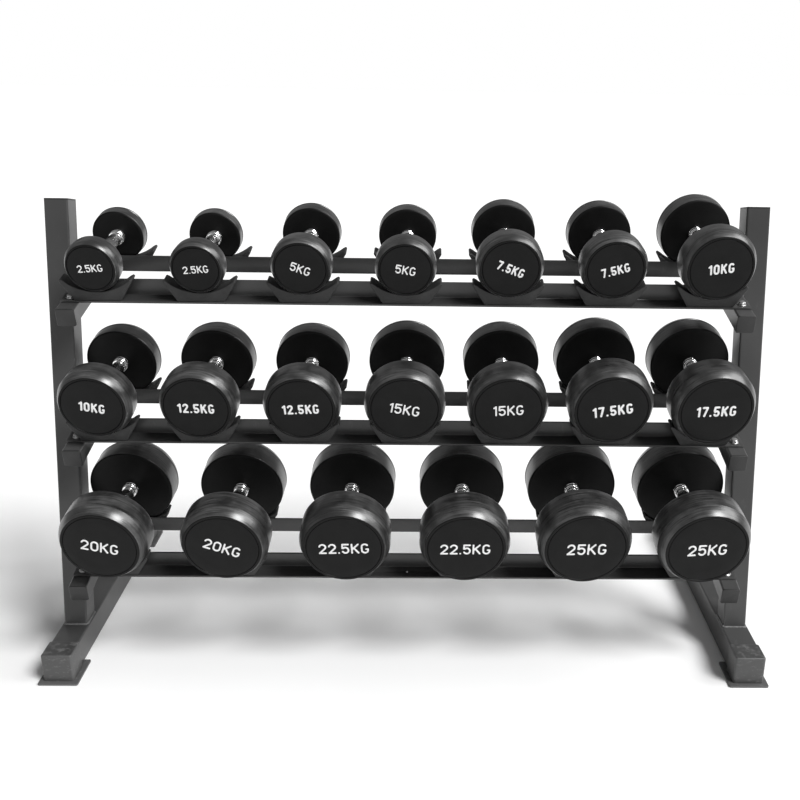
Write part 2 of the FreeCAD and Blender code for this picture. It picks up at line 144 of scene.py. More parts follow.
def arm_middle(side):
    """Place across the rack of the middle of one side's arms."""
    return side * (arm_inner() + ARM_SIDE / 2)


def dumbbell_names(tier):
    """Bodies of one tier's dumbbells from left to right."""
    found = [name for name in frame["bodies"] if name.startswith(tier + "_")]
    return sorted(found, key=lambda name: int(name.split("_")[1]))


def centre_of(name):
    """Middle of one dumbbell."""
    low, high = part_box(name + "_heads")
    return (low + high) / 2


def splay(tier, name):
    """How much farther left the dumbbell's rear saddle stands than its front one."""
    names = dumbbell_names(tier)
    return ROW_SPLAY * (2 * names.index(name) / (len(names) - 1) - 1)


def handle_line(tier, name):
    """Direction of one handle from the front to the back, through its two saddles."""
    return (BACK * ROW_SPACING - ACROSS * splay(tier, name)).normalized()


def head_size(name, line):
    """Head radius and head thickness of one dumbbell, from its heads' points."""
    heads = frame["nodes"][name + "_heads"]
    centre = centre_of(name)
    points = [heads.matrix_world @ vertex.co - centre for vertex in heads.data.vertices]
    radius = max((point - line * point.dot(line)).length for point in points)
    return radius, max(point.dot(line) for point in points) - GRIP_LENGTH / 2


# ---------------------------------------------------------------- mesh helpers

def new_object(name, mesh, place=None, body="rack", materials=()):
    """Link a mesh as a named piece that rides on a body and shows the given materials."""
    piece = bpy.data.objects.new(name, mesh)
    bpy.context.scene.collection.objects.link(piece)
    piece.matrix_world = place or IN_PLACE
    if not mesh.materials:
        for material in materials:
            mesh.materials.append(material)
    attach(piece, body)
    return piece


def smooth(mesh, angle=CREASE):
    for polygon in mesh.polygons:
        polygon.use_smooth = True
    mesh.set_sharp_from_angle(angle=math.radians(angle))
    return mesh


def mesh_from(name, verts, faces, angle=CREASE):
    mesh = bpy.data.meshes.new(name)
    mesh.from_pydata(verts, [], faces)
    tidy = bmesh.new()
    tidy.from_mesh(mesh)
    bmesh.ops.remove_doubles(tidy, verts=tidy.verts, dist=TOUCHING)
    bmesh.ops.recalc_face_normals(tidy, faces=tidy.faces)
    tidy.to_mesh(mesh)
    tidy.free()
    return smooth(mesh, angle)


def arc(centre, radii, start, end, steps):
    """Points of an elliptic arc between two angles in degrees."""
    points = []
    for step in range(steps + 1):
        angle = math.radians(start + (end - start) * step / steps)
        points.append((centre[0] + radii[0] * math.cos(angle),
                       centre[1] + radii[1] * math.sin(angle)))
    return points


def in_band(band, radius, height):
    """Whether a place lies between the band's two heights and outside its radius."""
    if band is None:
        return False
    lowest, highest, least_radius = band
    return lowest < height < highest and radius > least_radius


def lathe(name, profile, around, band=None, angle=CREASE):
    """Turn a profile of (radius, height) pairs about Z. Faces in the band get the second
    material."""
    verts, faces, marked = [], [], []
    rings = []
    for radius, height in profile:
        if radius < TOUCHING:
            rings.append([len(verts)])
            verts.append((0, 0, height))
            continue
        rings.append(list(range(len(verts), len(verts) + around)))
        for step in range(around):
            turn = 2 * math.pi * step / around
            verts.append((radius * math.cos(turn), radius * math.sin(turn), height))
    for number, (lower, upper) in enumerate(zip(rings, rings[1:])):
        radius, height = profile[number]
        inside = in_band(band, radius, (height + profile[number + 1][1]) / 2)
        for step in range(around):
            after = (step + 1) % around
            corners = [lower[step % len(lower)], lower[after % len(lower)],
                       upper[after % len(upper)], upper[step % len(upper)]]
            kept = list(dict.fromkeys(corners))
            if len(kept) > 2:
                faces.append(kept)
                marked.append(inside)
    mesh = bpy.data.meshes.new(name)
    mesh.from_pydata(verts, [], faces)
    for polygon, inside in zip(mesh.polygons, marked):
        polygon.material_index = int(inside)
    tidy = bmesh.new()
    tidy.from_mesh(mesh)
    bmesh.ops.recalc_face_normals(tidy, faces=tidy.faces)
    tidy.to_mesh(mesh)
    tidy.free()
    return smooth(mesh, angle)


def prism(name, outline, low, high, along, angle=CREASE):
    """Closed prism of an outline of pairs, drawn out along one axis between two places."""
    place = {"x": lambda a, b, c: (c, a, b), "y": lambda a, b, c: (a, c, b),
             "z": lambda a, b, c: (a, b, c)}[along]
    count = len(outline)
    verts = [place(a, b, low) for a, b in outline] + [place(a, b, high) for a, b in outline]
    faces = [list(range(count)), list(range(2 * count - 1, count - 1, -1))]
    for step in range(count):
        after = (step + 1) % count
        faces.append([step, after, count + after, count + step])
    return mesh_from(name, verts, faces, angle)


def joined(name, parts, angle=CREASE):
    """One mesh of several (mesh, matrix) pairs; the meshes given are left alone."""
    whole = bmesh.new()
    for mesh, matrix in parts:
        copy = mesh.copy()
        copy.transform(matrix)
        whole.from_mesh(copy)
        bpy.data.meshes.remove(copy)
    mesh = bpy.data.meshes.new(name)
    whole.to_mesh(mesh)
    whole.free()
    return smooth(mesh, angle)


def bevelled(mesh, width, segments=3, angle=CREASE):
    """The mesh with its sharp edges rounded."""
    return worked(mesh, "BEVEL", angle, width=width, segments=segments, limit_method="ANGLE",
                  angle_limit=math.radians(angle), harden_normals=False)


def worked(mesh, kind, angle, **settings):
    """The mesh after one modifier."""
    holder = bpy.data.objects.new("holder", mesh)
    bpy.context.scene.collection.objects.link(holder)
    modifier = holder.modifiers.new(kind.lower(), kind)
    for key, value in settings.items():
        setattr(modifier, key, value)
    bpy.context.view_layer.update()
    shown = holder.evaluated_get(bpy.context.evaluated_depsgraph_get())
    result = bpy.data.meshes.new_from_object(shown)
    result.name = mesh.name
    bpy.data.objects.remove(holder)
    return smooth(result, angle)


def cut_out(mesh, cutter_mesh, angle=CREASE):
    """The mesh without the space that the cutter takes up."""
    cutter = bpy.data.objects.new("cutter", cutter_mesh)
    bpy.context.scene.collection.objects.link(cutter)
    result = worked(mesh, "BOOLEAN", angle, object=cutter, operation="DIFFERENCE", solver="EXACT")
    bpy.data.objects.remove(cutter)
    return result


# ---------------------------------------------------------------- material helpers

def new_material(name, **values):
    """Principled material whose constant values are set on the shader itself."""
    material = bpy.data.materials.new(name)
    material.use_nodes = True
    shader = material.node_tree.nodes["Principled BSDF"]
    for key, value in values.items():
        socket = shader.inputs[key.replace("_", " ")]
        socket.default_value = (value, value, value, 1) if "Color" in key else value
    return material


def add(material, kind, inputs=None, **settings):
    """Add a node; inputs may be numbers or other nodes' output sockets."""
    node = material.node_tree.nodes.new("ShaderNode" + kind)
    for key, value in settings.items():
        setattr(node, key, value)
    for key, value in (inputs or {}).items():
        if isinstance(value, bpy.types.NodeSocket):
            material.node_tree.links.new(value, node.inputs[key])
        else:
            node.inputs[key].default_value = value
    return node


def into_shader(material, key, socket):
    shader = material.node_tree.nodes["Principled BSDF"]
    material.node_tree.links.new(socket, shader.inputs[key])


def coordinates(material, stretch=(1, 1, 1)):
    """Object coordinates, moved a little differently on each piece, in stretched metres."""
    place = add(material, "TexCoord").outputs["Object"]
    own = add(material, "ObjectInfo").outputs["Location"]
    mixed = add(material, "VectorMath", {0: place, 1: own}, operation="ADD").outputs[0]
    return add(material, "VectorMath", {0: mixed, 1: stretch}, operation="MULTIPLY").outputs[0]


def noise(material, vector, scale, detail=3, roughness=0.5):
    return add(material, "TexNoise", {"Vector": vector, "Scale": scale, "Detail": detail,
                                      "Roughness": roughness}).outputs["Fac"]


def ramp(material, factor, dark, light, low=0.3, high=0.7):
    """Grey ramp between two brightnesses over part of the factor's range."""
    node = add(material, "ValToRGB", {"Fac": factor})
    node.color_ramp.elements[0].position = low
    node.color_ramp.elements[1].position = high
    node.color_ramp.elements[0].color = (dark, dark, dark, 1)
    node.color_ramp.elements[1].color = (light, light, light, 1)
    return node.outputs["Color"]


def spread(material, factor, low, high):
    """Map a 0 to 1 factor onto a range."""
    return add(material, "MapRange", {"Value": factor, "To Min": low, "To Max": high}).outputs[0]


def bump(material, height, strength, distance):
    inputs = {"Height": height, "Strength": strength, "Distance": distance}
    into_shader(material, "Normal", add(material, "Bump", inputs).outputs["Normal"])


def lighten(material, base, mask, brightness):
    """Mix a constant brightness over a colour where the mask is high."""
    node = add(material, "Mix", data_type="RGBA")
    links = material.node_tree.links
    links.new(mask, node.inputs[0])
    links.new(base, node.inputs[6])
    node.inputs[7].default_value = (brightness, brightness, brightness, 1)
    return node.outputs[2]


# ---------------------------------------------------------------- materials

def powder_coat(name, dark, light, worn):
    """Satin powder coat: a fine orange peel, a cloudy tone and a few rubbed places."""
    material = new_material(name, Specular_IOR_Level=0.5)
    place = coordinates(material)
    cloud = ramp(material, noise(material, place, 7, 3, 0.5), dark, light)
    rubbed = ramp(material, noise(material, coordinates(material, (3, 1, 1)), 16, 6, 0.65),
                  0.0, 0.5, 0.62, 0.80)
    into_shader(material, "Base Color", lighten(material, cloud, rubbed, worn))
    into_shader(material, "Roughness", spread(material, noise(material, place, 20), 0.30, 0.40))
    bump(material, noise(material, place, 900, 2), 0.05, 0.0003)
    return material


def rubber(name, dark, light, gloss, grain):
    """Moulded black rubber with a faint bloom and a fine skin."""
    material = new_material(name, Specular_IOR_Level=0.14)
    place = coordinates(material)
    bloom = ramp(material, noise(material, place, 26, 5, 0.65), dark, light)
    dust = ramp(material, noise(material, place, 240, 4, 0.7), 0.0, 0.35, 0.56, 0.8)
    into_shader(material, "Base Color", lighten(material, bloom, dust, light * 2.2))
    into_shader(material, "Roughness",
                spread(material, noise(material, place, 60), gloss - 0.06, gloss + 0.08))
    bump(material, noise(material, place, 900, 3), grain, 0.0003)
    return material


def scuffed_rubber():
    """Side and shoulder of a head: rubbed grey in streaks that run round it."""
    material = new_material("rubber_scuffed_band", Specular_IOR_Level=0.8)
    place = coordinates(material, (5, 5, 120))
    streaks = noise(material, place, 3, 6, 0.72)
    patches = noise(material, coordinates(material), 22, 3)
    rubbed = add(material, "Math", {0: ramp(material, streaks, 0, 1, 0.42, 0.62),
                                    1: ramp(material, patches, 0.2, 1, 0.38, 0.60)},
                 operation="MULTIPLY").outputs[0]
    base = ramp(material, patches, 0.008, 0.018)
    into_shader(material, "Base Color", lighten(material, base, rubbed, 0.085))
    into_shader(material, "Roughness", spread(material, streaks, 0.20, 0.40))
    bump(material, streaks, 0.2, 0.0004)
    return material


def grained_plastic(name, dark, light, grain, roughness=0.5):
    """Moulded plastic with a spark-eroded grain."""
    material = new_material(name, Specular_IOR_Level=0.45)
    place = coordinates(material)
    cells = add(material, "TexVoronoi", {"Vector": place, "Scale": 750}).outputs["Distance"]
    into_shader(material, "Base Color", ramp(material, noise(material, place, 45, 5), dark, light))
    into_shader(material, "Roughness", spread(material, cells, roughness - 0.1, roughness + 0.15))
    bump(material, cells, grain, 0.0005)
    return material


def scuffed_edge_highlit_plastic():
    """Shoes of the rack: dark plastic with pale drag marks, and a painted highlight along its
    convex edges.
    """
    material = new_material("foot_plastic_scuffed", Specular_IOR_Level=0.4)
    place = coordinates(material, (1, 1, 2.2))
    marks = ramp(material, noise(material, place, 75, 8, 0.7), 0, 0.7, 0.46, 0.64)
    # painted highlight: the colour is lighter along the shoe's convex edges; below, it joins the
    # real drag marks
    edge = ramp(material, add(material, "NewGeometry").outputs["Pointiness"], 0, 0.8, 0.51, 0.57)
    both = add(material, "Math", {0: marks, 1: edge}, operation="MAXIMUM").outputs[0]
    soft = add(material, "Math", {0: both, 1: 0.9}, operation="MULTIPLY").outputs[0]
    base = ramp(material, noise(material, coordinates(material), 14, 4), 0.022, 0.042)
    into_shader(material, "Base Color", lighten(material, base, soft, 0.17))
    into_shader(material, "Roughness", spread(material, marks, 0.42, 0.62))
    bump(material, noise(material, coordinates(material), 420, 3), 0.25, 0.0004)
    return material


# the knurl's two sets of grooves: how many run side by side, and how fast they turn
KNURL_STARTS = 26.0
KNURL_TWIST = 2000.0


def chrome(name, knurled):
    """Bright chrome; on the grip it is cut by two crossing sets of helical grooves, with painted
    shade down in them.
    """
    material = new_material(name, Metallic=1.0, Base_Color=0.92)
    place = add(material, "TexCoord").outputs["Object"]
    smear = noise(material, coordinates(material), 70, 4)
    into_shader(material, "Roughness", spread(material, smear, 0.08, 0.24))
    if not knurled:
        bump(material, smear, 0.03, 0.0003)
        return material
    split = add(material, "SeparateXYZ", {0: place})
    turn = add(material, "Math", {0: split.outputs[1], 1: split.outputs[0]},
               operation="ARCTAN2").outputs[0]
    waves = []
    for hand in (-1, 1):
        helix = add(material, "Math", {0: split.outputs[2], 1: hand * KNURL_TWIST, 2: 0.0},
                    operation="MULTIPLY_ADD").outputs[0]
        phase = add(material, "Math", {0: turn, 1: KNURL_STARTS, 2: helix},
                    operation="MULTIPLY_ADD").outputs[0]
        wave = add(material, "Math", {0: phase}, operation="SINE").outputs[0]
        waves.append(add(material, "Math", {0: wave}, operation="ABSOLUTE").outputs[0])
    diamonds = add(material, "Math", {0: waves[0], 1: waves[1]}, operation="MINIMUM").outputs[0]
    bump(material, diamonds, 0.35, 0.0004)
    # painted shade: the chrome's colour is darker down in the knurl's grooves and brightest on the
    # diamonds
    into_shader(material, "Base Color", ramp(material, diamonds, 0.62, 0.95, 0.0, 0.45))
    return material


def zinc():
    """Zinc plate with a faint spangle."""
    material = new_material("zinc_plate", Metallic=1.0)
    cells = add(material, "TexVoronoi", {"Vector": coordinates(material), "Scale": 380})
    into_shader(material, "Base Color", ramp(material, cells.outputs["Color"], 0.5, 0.72))
    into_shader(material, "Roughness", spread(material, cells.outputs["Distance"], 0.24, 0.42))
    bump(material, noise(material, coordinates(material), 500), 0.1, 0.0003)
    return material


def highlit_weld_paint():
    """Painted weld bead: the ripples are in the mesh, the paint is like the tubes' but made
    lighter as a painted highlight.
    """
    material = new_material("weld_bead_paint", Specular_IOR_Level=0.5)
    place = coordinates(material)
    # painted highlight: the bead's paint is two to four times lighter than the tubes' paint; the
    # noise only varies its tone
    into_shader(material, "Base Color", ramp(material, noise(material, place, 160, 4), 0.10, 0.2))
    into_shader(material, "Roughness", spread(material, noise(material, place, 90), 0.32, 0.5))
    bump(material, noise(material, place, 700), 0.3, 0.0004)
    return material


def number_paint():
    """White paint on the raised numerals, slightly soiled."""
    material = new_material("numeral_white", Specular_IOR_Level=0.4)
    soil = noise(material, coordinates(material), 130, 6, 0.7)
    into_shader(material, "Base Color", ramp(material, soil, 0.62, 0.86, 0.25, 0.5))
    into_shader(material, "Roughness", spread(material, soil, 0.4, 0.6))
    bump(material, soil, 0.1, 0.0002)
    return material


def pale_floor():
    material = new_material("floor_pale", Roughness=0.9, Specular_IOR_Level=0.1)
    tone = ramp(material, noise(material, coordinates(material), 3, 2), 0.94, 0.96)
    into_shader(material, "Base Color", tone)
    return material


PAINT = powder_coat("frame_powder_coat", 0.042, 0.056, 0.11)
RAIL_PAINT = powder_coat("rail_powder_coat", 0.030, 0.042, 0.10)
FACE = rubber("rubber_face", 0.004, 0.007, 0.40, 0.12)
BAND = scuffed_rubber()
SADDLE = grained_plastic("saddle_grained_plastic", 0.016, 0.027, 0.5)
CAP = grained_plastic("cap_plastic", 0.012, 0.020, 0.2, 0.36)
FOOT = scuffed_edge_highlit_plastic()
CHROME = chrome("chrome_bright", False)
KNURL = chrome("chrome_knurled", True)
ZINC = zinc()
WELD = highlit_weld_paint()
WHITE = number_paint()


def dress_cad():
    """Give the CAD nodes that stay in view their real materials."""
    wear = {"left_upright": PAINT, "right_upright": PAINT, "left_base_tube": PAINT,
            "right_base_tube": PAINT, "left_arms": PAINT, "right_arms": PAINT,
            "saddle_screws": ZINC}
    for name, material in wear.items():
        mesh = frame["nodes"][name].data
        mesh.materials.clear()
        mesh.materials.append(material)


# ---------------------------------------------------------------- dumbbells

# shares of a head's radius: the shoulder's height, its inner rim, the groove, the bulge
BEVEL_SHARE = 0.26
RIM_SHARE = 0.87
GROOVE_SHARE = 0.81
SHOULDER_BULGE = 0.012
GROOVE_WIDTH = 0.0018
GROOVE_DEPTH = 0.0013
INNER_ROUND = 0.005
RIM_ROUND = 0.0018
# how far the side lies inside the shoulder's foot, and the height of the step between them
BAND_STEP = 0.0008
STEP_HEIGHT = 0.0010
HEAD_EDGE = 16
HEAD_AROUND = 112

# the handle's radii, and how far its turned parts lie from the head's inner face
HANDLE_END_PLAY = 0.0003
SHAFT_RADIUS = 0.0119
FLANGE_RADIUS = 0.0158
COLLAR_RADIUS = 0.0128
COLLAR_PLACE = 0.0055
COLLAR_REACH = (0.0042, 0.0045)
RING_RADIUS = 0.0138
RING_PLACE = 0.0118
RING_REACH = (0.0024, 0.0022)
NECK_RADIUS = 0.0122
NECK_FROM = 0.0146
NECK_TO = 0.0160
GRIP_EDGE_RADIUS = 0.0131
GRIP_EDGE_PLACE = 0.0166
GRIP_RADIUS = 0.0133
GRIP_SWELL = 0.0009
GRIP_PLACE = 0.0172
KNURL_PLACE = 0.017
KNURL_LEAST_RADIUS = 0.0125
HANDLE_AROUND = 64


def bulged(start, end, bulge, steps):
    """Points of a shallow curve that swells to the right of the line from start to end."""
    across, up = end[0] - start[0], end[1] - start[1]
    length = math.hypot(across, up)
    points = []
    for step in range(steps + 1):
        share = step / steps
        swell = bulge * math.sin(math.pi * share) / length
        points.append((start[0] + across * share + up * swell,
                       start[1] + up * share - across * swell))
    return points


def head_mesh(name, radius, thickness):
    """One rubber head from its inner face at Z 0 to its end face, with a bore for the bar."""
    bevel_from = thickness - BEVEL_SHARE * radius
    depth = thickness * BORE_SHARE
    profile = [(0, depth), (BORE_RADIUS, depth), (BORE_RADIUS, 0.0)]
    profile += [(radius * share, 0.0) for share in (0.3, 0.32, 0.6, 0.86)]
    profile += arc((radius - BAND_STEP - INNER_ROUND, INNER_ROUND), (INNER_ROUND, INNER_ROUND),
                   -90, 0, 7)
    side = radius - BAND_STEP
    for share in (0.2, 0.4, 0.6, 0.8, 0.98):
        height = INNER_ROUND + (bevel_from - INNER_ROUND) * share
        crown = BAND_STEP * 0.6 * math.sin(math.pi * share)
        profile.append((side + crown, height))
    profile.append((side, bevel_from - STEP_HEIGHT * 0.6))
    profile.append((radius, bevel_from + STEP_HEIGHT * 0.4))
    rim = radius * RIM_SHARE
    profile += bulged((radius, bevel_from + STEP_HEIGHT), (rim + 0.0016, thickness - 0.0012),
                      radius * SHOULDER_BULGE, 12)
    profile += arc((rim - 0.0002, thickness - RIM_ROUND), (RIM_ROUND, RIM_ROUND), 40, 90, 5)
    groove = radius * GROOVE_SHARE
    profile += [(groove + GROOVE_WIDTH, thickness),
                (groove + GROOVE_WIDTH * 0.75, thickness - GROOVE_DEPTH * 0.6),
                (groove + GROOVE_WIDTH * 0.5, thickness - GROOVE_DEPTH),
                (groove + GROOVE_WIDTH * 0.25, thickness - GROOVE_DEPTH * 0.6),
                (groove, thickness - 0.0002), (groove - 0.001, thickness)]
    profile += [(radius * share, thickness) for share in (0.6, 0.4, 0.2)]
    profile.append((0, thickness))
    band = (INNER_ROUND * 0.6, thickness - 0.0010, rim)
    return lathe(name, profile, HEAD_AROUND, band, HEAD_EDGE)


def handle_mesh(name, thickness):
    """Chrome bar: a round collar and a ring at each head, then the knurled grip."""
    half = GRIP_LENGTH / 2
    end = half + thickness * BORE_SHARE - HANDLE_END_PLAY
    side = [(0, end), (SHAFT_RADIUS, end), (SHAFT_RADIUS, half - 0.0004),
            (FLANGE_RADIUS, half - 0.0005)]
    side += arc((COLLAR_RADIUS, half - COLLAR_PLACE), COLLAR_REACH, 62, -62, 10)
    side += arc((RING_RADIUS, half - RING_PLACE), RING_REACH, 80, -80, 7)
    side += [(NECK_RADIUS, half - NECK_FROM), (NECK_RADIUS, half - NECK_TO),
             (GRIP_EDGE_RADIUS, half - GRIP_EDGE_PLACE)]
    grip = [(GRIP_RADIUS + GRIP_SWELL * math.cos(math.pi / 2 * share),
             share * (half - GRIP_PLACE)) for share in (1, 0.8, 0.6, 0.4, 0.2, 0)]
    profile = side + grip
    profile += [(radius, -height) for radius, height in reversed(profile[:-1])]
    band = (KNURL_PLACE - half, half - KNURL_PLACE, KNURL_LEAST_RADIUS)
    return lathe(name, profile, HANDLE_AROUND, band)


# ---------------------------------------------------------------- numerals

# the space between two signs, as a share of the cap height
GAP = 0.13
# half the pen's width and the width of a digit, as shares of the cap height
REGULAR = (0.072, 0.64)
BOLD = (0.092, 0.56)
BOLD_MASSES = ("7_5kg", "10kg", "12_5kg", "17_5kg")
NUMERAL_ROOT = 0.0012
NUMERAL_HEIGHT = 0.0009
NUMERAL_VOXEL = 0.00042
NUMERAL_CREASE = 60


def glyphs(pen, wide):
    """Strokes of each sign on a cap height of 1: lists of points along the pen's middle."""
    low, high, left, right = pen, 1 - pen, pen, wide - pen
    middle, reach = wide / 2, wide / 2 - pen
    narrow = pen * 2 + 0.17
    top_bow = (middle, high - reach)
    low_bow = (middle, low + reach)
    round_top = arc(top_bow, (reach, reach), 0, 180, 10)
    round_low = arc(low_bow, (reach, reach), 180, 360, 10)
    bowl = arc((middle, low + reach + 0.03), (reach, reach + 0.03), 135, -150, 14)
    return {
        "0": (wide, [round_top + round_low + [round_top[0]]]),
        "1": (narrow, [[(narrow - pen, low), (narrow - pen, high), (pen, high - 0.13)]]),
        "2": (wide, [arc(top_bow, (reach, reach), 165, -25, 10) + [(left, low), (right, low)]]),
        "5": (wide, [[(right - 0.01, high), (left + 0.03, high), (left + 0.01, 0.56)], bowl]),
        "7": (wide - 0.02, [[(left, high), (right - 0.02, high), (left + 0.13, low)]]),
        ".": (pen * 2, [[(pen, low), (pen + 0.004, low)]]),
        "K": (wide + 0.02, [[(left, low), (left, high)], [(right, high), (left + 0.02, 0.42)],
                            [(left + 0.16, 0.56), (right + 0.02, low)]]),
        "G": (wide + 0.02, [arc(top_bow, (reach, reach), 38, 180, 9)
                            + arc(low_bow, (reach, reach), 180, 360, 9)
                            + [(right, 0.43), (middle + 0.10, 0.43)]]),
    }


def stadium(start, end, radius, low, high, steps=8):
    """Closed flat bar with round ends between two points, as vertices and faces."""
    start, end = Vector(start), Vector(end)
    heading = math.degrees(math.atan2(end.y - start.y, end.x - start.x))
    rim = arc(end, (radius, radius), heading - 90, heading + 90, steps)
    rim += arc(start, (radius, radius), heading + 90, heading + 270, steps)
    count = len(rim)
    verts = [(a, b, low) for a, b in rim] + [(a, b, high) for a, b in rim]
    faces = [list(range(count - 1, -1, -1)), list(range(count, 2 * count))]
    faces += [[step, (step + 1) % count, count + (step + 1) % count, count + step]
              for step in range(count)]
    return verts, faces


def numeral_mesh(label, cap_height, pen, wide):
    """Raised rounded numerals, centred on the origin and facing +Z."""
    signs = glyphs(pen, wide)
    verts, faces, across = [], [], 0.0
    for sign in label:
        width, strokes = signs[sign]
        for stroke in strokes:
            points = [((across + a) * cap_height, b * cap_height) for a, b in stroke]
            for start, end in zip(points, points[1:]):
                bar = stadium(start, end, pen * cap_height, -NUMERAL_ROOT, NUMERAL_HEIGHT)
                faces += [[corner + len(verts) for corner in face] for face in bar[1]]
                verts += bar[0]
        across += width + GAP
    middle = (across - GAP) * cap_height / 2
    verts = [(a - middle, b - cap_height / 2, c) for a, b, c in verts]
    mesh = bpy.data.meshes.new("numeral_" + label.replace(".", "_"))
    mesh.from_pydata(verts, [], faces)
    mesh = worked(mesh, "REMESH", NUMERAL_CREASE, mode="VOXEL", voxel_size=NUMERAL_VOXEL)
    mesh = worked(mesh, "SMOOTH", NUMERAL_CREASE, factor=0.5, iterations=3)
    return worked(mesh, "DECIMATE", NUMERAL_CREASE, ratio=0.3)


# ---------------------------------------------------------------- building the dumbbells

def cap_share(label):
    """Cap height as a share of the groove's diameter; short labels are a little larger."""
    return {3: 0.184, 4: 0.173, 5: 0.175}.get(len(label), 0.168)


def make_dumbbells():
    """Two heads, their numerals and a handle for each dumbbell; equal ones share meshes."""
    heads, handles, numerals = {}, {}, {}
    for tier in TIERS:
        for name, turn in zip(dumbbell_names(tier), TURNS[tier]):
            centre, line = centre_of(name), handle_line(tier, name)
            level = line.cross(UP)
            radius, thickness = head_size(name, line)
            mass = name.split("_", 2)[2]
            label = mass.replace("_", ".").upper()
            if mass not in heads:
                heads[mass] = head_mesh("head_" + mass, radius, thickness)
                handles[mass] = handle_mesh("handle_" + mass, thickness)
                cap_height = cap_share(label) * 2 * radius * GROOVE_SHARE
                lettering = BOLD if mass in BOLD_MASSES else REGULAR
                numerals[mass] = numeral_mesh(label, cap_height, *lettering)
            spin = Matrix.Rotation(math.radians(-turn), 4, "Z")
            for end, outward in zip(ENDS, (-line, line)):
                right = UP.cross(outward)
                inner = centre + outward * GRIP_LENGTH / 2
                own_spin = spin if end == "front" else spin.inverted()
                place = axes(right, UP, outward, inner) @ own_spin
                head = new_object("%s_%s_head" % (name, end), heads[mass], place, name,
                                  (FACE, BAND))
                if end == "front":
                    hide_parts(name + "_heads")
                face = axes(right, UP, outward, inner + outward * thickness) @ own_spin
                new_object("%s_%s_numeral" % (name, end), numerals[mass], face, name,
                           (WHITE,))
            bar = new_object(name + "_bar", handles[mass], axes(level, UP, -line, centre) @ spin,
                             name, (CHROME, KNURL))
            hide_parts(name + "_handle")


# ---------------------------------------------------------------- rails and saddles

BEND_INSIDE = 0.0022
SHEET_EDGE = 0.0007
CUTTER_REACH = 0.1
PAST_RAIL = 0.02
HOLE_FROM = -0.01
HOLE_TO = 0.02
HORN_PLACE = 0.0045
HORN_REACH = (0.0031, 0.0034)
SADDLE_EDGE = 0.0016


def rail_section(facing):
    """Section of a folded rail as (Y, Z) pairs, its fold's outer corner at the origin."""
    outer = BEND_INSIDE + SHEET
    points = [(RAIL_LEG, 0.0), (RAIL_LEG, SHEET)]
    points += arc((outer, outer), (BEND_INSIDE, BEND_INSIDE), 270, 180, 6)
    points += [(SHEET, RAIL_LEG), (0.0, RAIL_LEG)]
    points += arc((outer, outer), (outer, outer), 180, 270, 8)
    return [(facing * across, up) for across, up in points]


def rod(radius, low, high, place):
    """Straight round cutter standing on XY, moved to a place, with its matrix."""
    outline = arc((0, 0), (radius, radius), 0, 360 * 23 / 24, 23)
    return prism("rod", outline, low, high, "z"), Matrix.Translation(place)


def make_rail(tier, end):
    """Folded rail with its end tabs, its bolt holes and the bottom tier's empty screw hole."""
    name = "%s_%s_rail" % (tier, end)
    facing = -1 if end == "front" else 1
    low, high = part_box(name)
    blank = prism(name + "_sheet", rail_section(facing), low.x, high.x, "x")
    notches, holes = [], []
    above = [(-CUTTER_REACH, SHEET), (CUTTER_REACH, SHEET), (CUTTER_REACH, CUTTER_REACH),
             (-CUTTER_REACH, CUTTER_REACH)]
    for side in (-1, 1):
        x = sorted((side * arm_inner(), side * (high.x + PAST_RAIL)))
        notches.append((prism("notch", above, x[0], x[1], "x"), IN_PLACE))
        bolt_place = (arm_middle(side), facing * BOLT_FROM_FOLD, 0)
        holes.append(rod(BOLT_HOLE / 2, HOLE_FROM, HOLE_TO, bolt_place))
    if tier == "bottom":
        empty = (0, facing * (SHEET + SADDLE_DEPTH / 2), 0)
        holes.append(rod(SCREW_HOLE / 2, HOLE_FROM, HOLE_TO, empty))
    notched = cut_out(blank, joined("notches", notches))
    mesh = bevelled(cut_out(notched, joined("holes", holes)), SHEET_EDGE, 2)
    piece = new_object(name + "_sheet", mesh, tier_axes(fold_corner(tier, end)), "rack",
                       (RAIL_PAINT,))
    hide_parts(name)


def saddle_mesh():
    """Moulded cradle: sloping sides, rounded horns and a round hollow with a rolled lip."""
    half_foot, half_top = SADDLE_FOOT / 2, SADDLE_TOP / 2
    centre = SADDLE_RISE + SADDLE_RADIUS
    flat = half_top - SADDLE_TIP
    reach = math.degrees(math.asin(flat / SADDLE_RADIUS))
    hollow = arc((0, centre), (SADDLE_RADIUS, SADDLE_RADIUS), 270 + reach, 270 - reach, 36)
    horn = arc((half_top - HORN_PLACE, SADDLE_HEIGHT - HORN_REACH[1]), HORN_REACH, -10, 105, 7)
    outline = [(-half_foot, 0.0), (half_foot, 0.0)] + horn
    outline += [point for point in hollow if point[1] < SADDLE_HEIGHT - SADDLE_EDGE]
    outline += [(-across, up) for across, up in reversed(horn)]
    blank = prism("saddle", outline, 0.0, SADDLE_DEPTH, "y", 25)
    return bevelled(blank, SADDLE_EDGE, 3, SOFT_CREASE)


def make_saddles(tier, cradle):
    """Both rows of cradles of one tier, under the middles of its dumbbells."""
    parts = []
    origin = tier_axes(fold_corner(tier, "front"))
    front = -SHEET - SADDLE_DEPTH
    for name in dumbbell_names(tier):
        x, lean = centre_of(name).x, splay(tier, name) / 2
        parts.append((cradle, Matrix.Translation((x + lean, front, SHEET))))
        parts.append((cradle, Matrix.Translation((x - lean, front + ROW_SPACING, SHEET))))
    mesh = joined(tier + "_saddles_moulded", parts, 40)
    piece = new_object(tier + "_saddles_moulded", mesh, origin, "rack",
                       (SADDLE,))
    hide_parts(tier + "_saddles")


# ---------------------------------------------------------------- caps, shoes and welds

